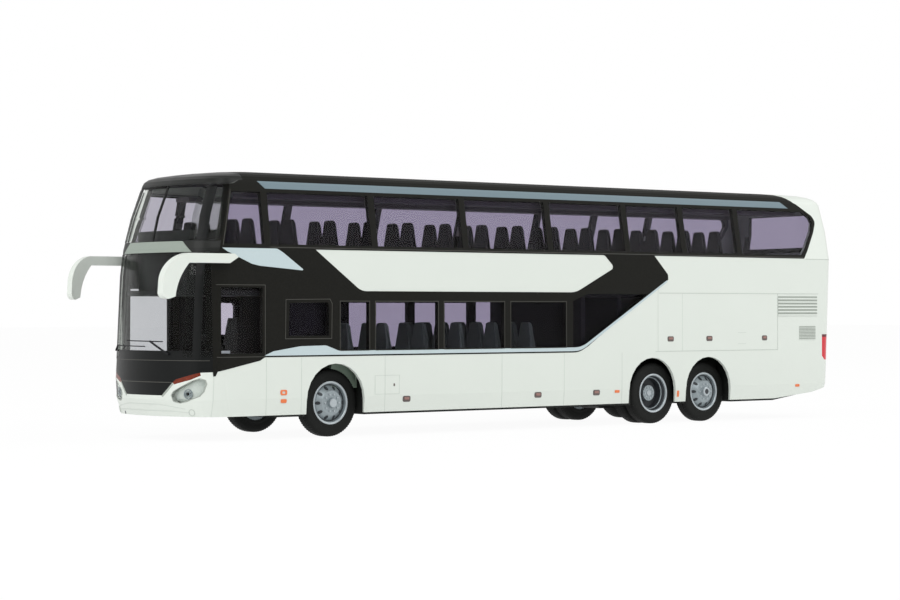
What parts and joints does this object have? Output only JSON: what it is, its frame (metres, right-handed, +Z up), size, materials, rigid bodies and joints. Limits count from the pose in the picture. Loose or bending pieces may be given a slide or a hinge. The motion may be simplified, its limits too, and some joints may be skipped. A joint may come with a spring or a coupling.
{
  "type": "double-decker coach scale model",
  "caption": "Scale model of a three-axle double-decker touring coach with glazed decks, seats inside, mirror arms and free-rolling wheels.",
  "frame": {"origin": "on the floor, midway along the length over the mirrors and on the centre plane", "axes": "+X to the nose, +Y to the left side, +Z up"},
  "size_m": [0.1664, 0.0318, 0.046],
  "materials": {
    "body": "semi-gloss white moulded plastic",
    "black": "satin black printed plastic",
    "glass_side": "clear, lavender tint",
    "glass_front": "clear, smoky tint",
    "band": "grey-green printed",
    "lens_clear": "clear moulded lens",
    "lens_amber": "clear amber lacquer",
    "lens_red": "clear red lacquer",
    "interior": "matt black",
    "chassis": "matt black",
    "tyre": "matt soft plastic",
    "rim": "silver lacquered plastic",
    "mirror": "white moulded plastic",
    "metal": "steel pin"
  },
  "bodies": {
    "coach": {"body_shell": "body", "roof_panel": "black", "roof_cap": "black", "upper_windscreen": "glass_front", "front_band": "band", "lower_windscreen": "glass_front", "front_mask": "black", "front_bumper": "body", "grille_panel": "black", "indicators": "lens_amber", "headlight_left": "lens_clear", "headlight_right": "lens_clear", "tail_lights": "lens_red", "rear_screen": "glass_side", "upper_glazing_left": "glass_side", "upper_glazing_right": "glass_side", "lower_glazing_left": "glass_side", "lower_glazing_right": "glass_side", "cab_glass_left": "glass_side", "door_glass_right": "glass_side", "chassis": "chassis", "lower_floor": "interior", "upper_floor": "interior", "upper_seats": "interior", "lower_seats": "interior", "driver_seat": "interior", "dashboard": "interior", "upper_ledge": "interior", "steering_wheel": "interior", "luggage_shelves": "interior", "mirror_left": "mirror", "mirror_right": "mirror"},
    "front_wheelset": {"front_axle": "metal", "front_tyre_left": "tyre", "front_tyre_right": "tyre", "front_rim_left": "rim", "front_rim_right": "rim"},
    "drive_wheelset": {"drive_axle": "metal", "drive_tyre_left": "tyre", "drive_tyre_right": "tyre", "drive_rim_left": "rim", "drive_rim_right": "rim"},
    "tag_wheelset": {"tag_axle": "metal", "tag_tyre_left": "tyre", "tag_tyre_right": "tyre", "tag_rim_left": "rim", "tag_rim_right": "rim"}
  },
  "joints": [
    {"name": "front_wheels", "type": "hinge", "parent": "coach", "child": "front_wheelset", "pos_m": [0.0467, 0, 0.0059], "axis": [0, 1, 0], "continuous": true},
    {"name": "drive_wheels", "type": "hinge", "parent": "coach", "child": "drive_wheelset", "pos_m": [-0.0314, 0, 0.0059], "axis": [0, 1, 0], "continuous": true},
    {"name": "tag_wheels", "type": "hinge", "parent": "coach", "child": "tag_wheelset", "pos_m": [-0.0462, 0, 0.0059], "axis": [0, 1, 0], "continuous": true}
  ]
}
